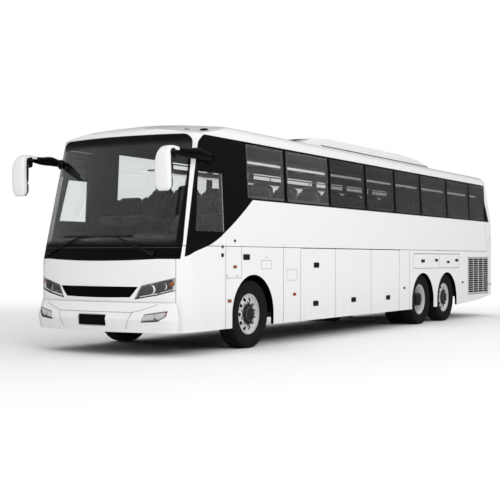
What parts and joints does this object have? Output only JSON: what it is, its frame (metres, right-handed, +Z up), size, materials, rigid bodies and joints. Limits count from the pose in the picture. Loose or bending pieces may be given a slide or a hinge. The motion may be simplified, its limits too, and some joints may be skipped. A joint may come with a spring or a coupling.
{
  "type": "three-axle coach bus",
  "caption": "High-floor touring coach with steered front wheels, twin drive wheels, tag axle, through luggage bays with lifting flaps, hinged entry door and rear engine lid.",
  "frame": {"origin": "on the ground, midway along the overall length and width", "axes": "+X forward, +Y to the driver's (left) side, +Z up"},
  "size_m": [13.1122, 2.81, 3.45],
  "materials": {
    "body_paint": "gloss white enamel",
    "chassis_black": "satin black",
    "engine_grey": "matt",
    "floor_grey": "matt sheet",
    "hinge_steel": "drawn",
    "louvre_grey": "satin",
    "black_plastic": "gloss black",
    "liner_black": "matt",
    "dash_plastic": "grained",
    "seat_fabric": "woven",
    "rack_plastic": "smooth",
    "lamp_bright": "polished",
    "amber_lens": "clear moulded",
    "red_lens": "clear moulded",
    "clear_glass": "clear",
    "tinted_glass": "tinted",
    "tyre": "matt",
    "rim_alloy": "polished"
  },
  "bodies": {
    "coach": {"side_left": "body_paint", "side_right": "body_paint", "skirt_left": "body_paint", "skirt_right": "body_paint", "rear_cap": "body_paint", "roof": "body_paint", "roof_unit": "body_paint", "front_mask": "body_paint", "bumper": "body_paint", "mirror_heads": "body_paint", "chassis_frame": "chassis_black", "front_axle": "chassis_black", "drive_axle": "chassis_black", "tag_axle": "chassis_black", "engine": "engine_grey", "bay_floor": "floor_grey", "cabin_floor": "floor_grey", "hinge_rods": "hinge_steel", "front_trim": "black_plastic", "mirror_arms": "black_plastic", "wipers": "black_plastic", "arch_liners": "liner_black", "dashboard": "dash_plastic", "steering_wheel": "dash_plastic", "seats": "seat_fabric", "racks": "rack_plastic", "headlamps": "lamp_bright", "amber_lamps": "amber_lens", "red_lamps": "red_lens", "windscreen": "clear_glass", "side_glass": "tinted_glass"},
    "hub_left": {"knuckle_l": "chassis_black"},
    "hub_right": {"knuckle_r": "chassis_black"},
    "door": {"entry_door": "body_paint", "door_glass": "tinted_glass"},
    "wheel_fl": {"tyre_fl": "tyre", "rim_fl": "rim_alloy"},
    "wheel_fr": {"tyre_fr": "tyre", "rim_fr": "rim_alloy"},
    "wheel_dl": {"tyre_dl": "tyre", "rim_dl": "rim_alloy"},
    "wheel_dr": {"tyre_dr": "tyre", "rim_dr": "rim_alloy"},
    "wheel_tl": {"tyre_tl": "tyre", "rim_tl": "rim_alloy"},
    "wheel_tr": {"tyre_tr": "tyre", "rim_tr": "rim_alloy"},
    "flap_l1": {"flap_l1": "body_paint"},
    "flap_l2": {"flap_l2": "body_paint"},
    "flap_l3": {"flap_l3": "body_paint"},
    "flap_r1": {"flap_r1": "body_paint"},
    "flap_r2": {"flap_r2": "body_paint"},
    "flap_r3": {"flap_r3": "body_paint"},
    "lid_l1": {"lid_l1": "body_paint"},
    "lid_l2": {"lid_l2": "body_paint"},
    "louvre_door": {"louvre_door": "louvre_grey"},
    "engine_lid": {"engine_lid": "body_paint"}
  },
  "joints": [
    {"name": "steer_left", "type": "hinge", "parent": "coach", "child": "hub_left", "pos_m": [4.27615, 0.945, 0.5], "axis": [0, 0, 1], "range_deg": [-38, 38]},
    {"name": "steer_right", "type": "hinge", "parent": "coach", "child": "hub_right", "pos_m": [4.27615, -0.945, 0.5], "axis": [0, 0, 1], "range_deg": [-38, 38]},
    {"name": "spin_fl", "type": "hinge", "parent": "hub_left", "child": "wheel_fl", "pos_m": [4.27615, 1.107, 0.5], "axis": [0, 1, 0], "continuous": true},
    {"name": "spin_fr", "type": "hinge", "parent": "hub_right", "child": "wheel_fr", "pos_m": [4.27615, -1.107, 0.5], "axis": [0, 1, 0], "continuous": true},
    {"name": "spin_dl", "type": "hinge", "parent": "coach", "child": "wheel_dl", "pos_m": [-2.24417, 1.107, 0.5], "axis": [0, 1, 0], "continuous": true},
    {"name": "spin_dr", "type": "hinge", "parent": "coach", "child": "wheel_dr", "pos_m": [-2.24417, -1.107, 0.5], "axis": [0, 1, 0], "continuous": true},
    {"name": "spin_tl", "type": "hinge", "parent": "coach", "child": "wheel_tl", "pos_m": [-3.57917, 1.107, 0.5], "axis": [0, 1, 0], "continuous": true},
    {"name": "spin_tr", "type": "hinge", "parent": "coach", "child": "wheel_tr", "pos_m": [-3.57917, -1.107, 0.5], "axis": [0, 1, 0], "continuous": true},
    {"name": "flap_hinge_l1", "type": "hinge", "parent": "coach", "child": "flap_l1", "pos_m": [2.2405, 1.274, 1.461], "axis": [1, 0, 0], "range_deg": [0, 100]},
    {"name": "flap_hinge_r1", "type": "hinge", "parent": "coach", "child": "flap_r1", "pos_m": [2.2405, -1.274, 1.461], "axis": [-1, 0, 0], "range_deg": [0, 100]},
    {"name": "flap_hinge_l2", "type": "hinge", "parent": "coach", "child": "flap_l2", "pos_m": [0.9247, 1.274, 1.461], "axis": [1, 0, 0], "range_deg": [0, 100]},
    {"name": "flap_hinge_r2", "type": "hinge", "parent": "coach", "child": "flap_r2", "pos_m": [0.9247, -1.274, 1.461], "axis": [-1, 0, 0], "range_deg": [0, 100]},
    {"name": "flap_hinge_l3", "type": "hinge", "parent": "coach", "child": "flap_l3", "pos_m": [-0.42077, 1.274, 1.461], "axis": [1, 0, 0], "range_deg": [0, 100]},
    {"name": "flap_hinge_r3", "type": "hinge", "parent": "coach", "child": "flap_r3", "pos_m": [-0.42077, -1.274, 1.461], "axis": [-1, 0, 0], "range_deg": [0, 100]},
    {"name": "lid_hinge_l1", "type": "hinge", "parent": "coach", "child": "lid_l1", "pos_m": [-2.44569, 1.274, 1.395], "axis": [1, 0, 0], "range_deg": [0, 95]},
    {"name": "lid_hinge_l2", "type": "hinge", "parent": "coach", "child": "lid_l2", "pos_m": [-3.71647, 1.274, 1.395], "axis": [1, 0, 0], "range_deg": [0, 95]},
    {"name": "louvre_hinge", "type": "hinge", "parent": "coach", "child": "louvre_door", "pos_m": [-4.87059, 1.274, 0.93], "axis": [0, 0, -1], "range_deg": [0, 100]},
    {"name": "engine_lid_hinge", "type": "hinge", "parent": "coach", "child": "engine_lid", "pos_m": [-6.52285, 0, 1.679], "axis": [0, 1, 0], "range_deg": [0, 80]},
    {"name": "door_hinge", "type": "hinge", "parent": "coach", "child": "door", "pos_m": [5.76345, -1.274, 1], "axis": [0, 0, 1], "range_deg": [0, 85]}
  ],
  "couplings": [
    {"joint": "steer_right", "follows": "steer_left", "ratio": 1}
  ]
}
